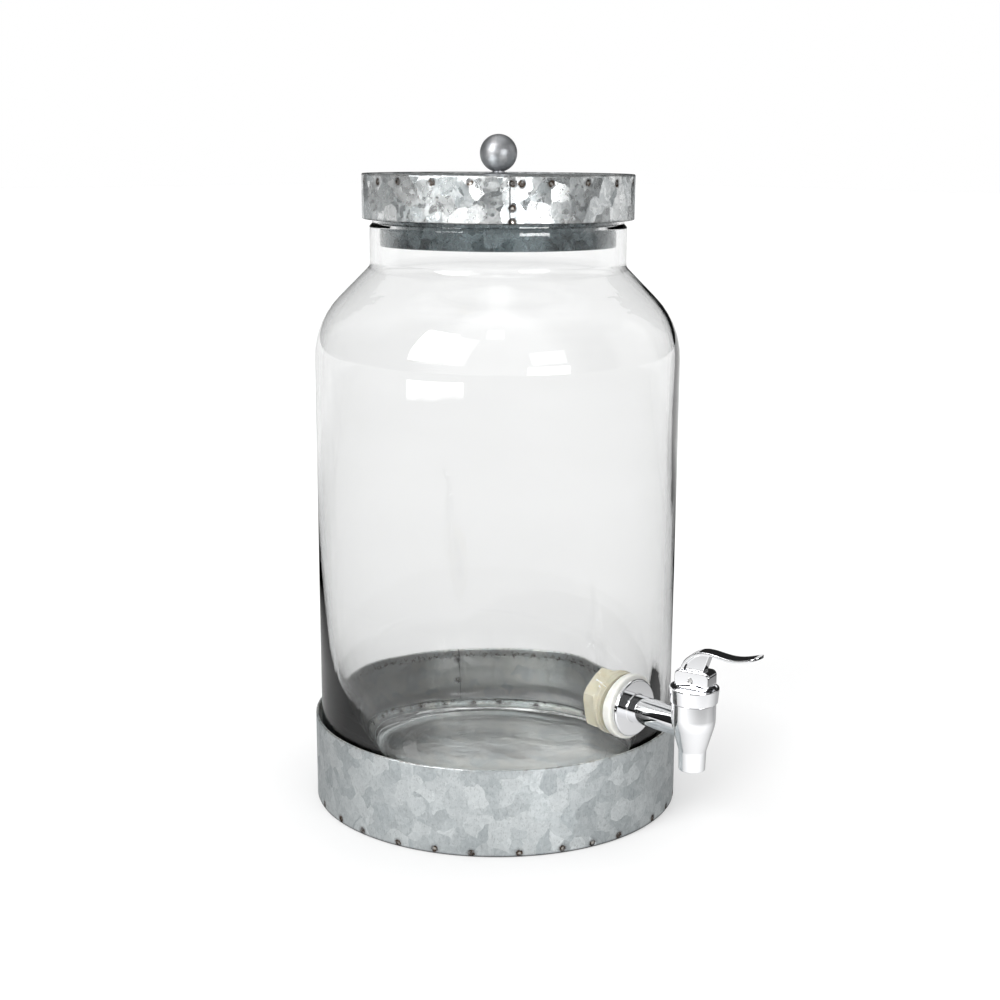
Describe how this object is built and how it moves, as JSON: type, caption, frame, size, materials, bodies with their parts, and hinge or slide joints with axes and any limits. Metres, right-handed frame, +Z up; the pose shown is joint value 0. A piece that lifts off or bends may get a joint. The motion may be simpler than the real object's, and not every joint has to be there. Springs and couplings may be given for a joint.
{
  "type": "beverage dispenser",
  "caption": "Glass jar drink dispenser on a round galvanised tray, with a lift-off galvanised lid, a ball knob and a chrome lever tap.",
  "frame": {"origin": "centre of the tray's flat underside, on the surface it stands on", "axes": "+Z up along the jar's axis, -Y out through the tap, +X to the right of a person who faces the tap"},
  "size_m": [0.2, 0.2757, 0.3584],
  "materials": {
    "galvanised_tray": "hot-dip galvanised sheet with large spangle, matt",
    "galvanised_lid": "hot-dip galvanised sheet with large spangle, semi-bright",
    "clear_glass": "clear blown soda-lime glass",
    "knob_metal": "satin zinc",
    "plain_steel": "stainless, bright",
    "tap_chrome": "polished chrome plate",
    "white_silicone": "white silicone, slight gloss",
    "clear_silicone": "translucent silicone",
    "cream_nylon": "moulded ivory nylon",
    "black_rubber": "black nitrile"
  },
  "bodies": {
    "tray": {"base_band": "galvanised_tray", "base_plate": "galvanised_tray"},
    "jar": {"glass_jar": "clear_glass", "tap_body": "tap_chrome", "tap_outer_washer": "white_silicone", "tap_inner_washer": "white_silicone", "tap_nut": "cream_nylon", "bonnet": "tap_chrome", "stem_guide": "cream_nylon", "stem_o_ring": "black_rubber"},
    "lid": {"lid_band": "galvanised_lid", "lid_plate": "galvanised_lid", "lid_collar": "galvanised_lid", "lid_gasket": "clear_silicone", "knob": "knob_metal", "knob_washer": "knob_metal", "knob_lock_washer": "plain_steel", "knob_screw": "plain_steel"},
    "spring_seat": {"spring_washer": "plain_steel", "stem_spring": "plain_steel"},
    "stem": {"stem": "plain_steel", "seat_cup": "clear_silicone"},
    "lever": {"lever": "tap_chrome", "lever_pin": "plain_steel"}
  },
  "joints": [
    {"name": "jar_lift", "type": "slide", "parent": "tray", "child": "jar", "axis": [0, 0, 1], "range_m": [0, 0.08]},
    {"name": "lid_lift", "type": "slide", "parent": "jar", "child": "lid", "axis": [0, 0, 1], "range_m": [0, 0.08]},
    {"name": "lever_swivel", "type": "hinge", "parent": "jar", "child": "spring_seat", "pos_m": [0, -0.141, 0.0912], "axis": [0, 0, 1], "continuous": true},
    {"name": "stem_lift", "type": "slide", "parent": "spring_seat", "child": "stem", "axis": [0, 0, 1], "range_m": [0, 0.0035], "deforming": ["stem_spring"]},
    {"name": "lever_tilt", "type": "hinge", "parent": "stem", "child": "lever", "pos_m": [0, -0.141, 0.0959], "axis": [0.9703, 0.2419, 0], "range_deg": [0, 30], "stiffness_Nm_per_rad": 0.035, "springref_deg": -51.57}
  ],
  "couplings": [
    {"joint": "stem_lift", "follows": "lever_tilt", "m_per_rad": 0.0066}
  ]
}
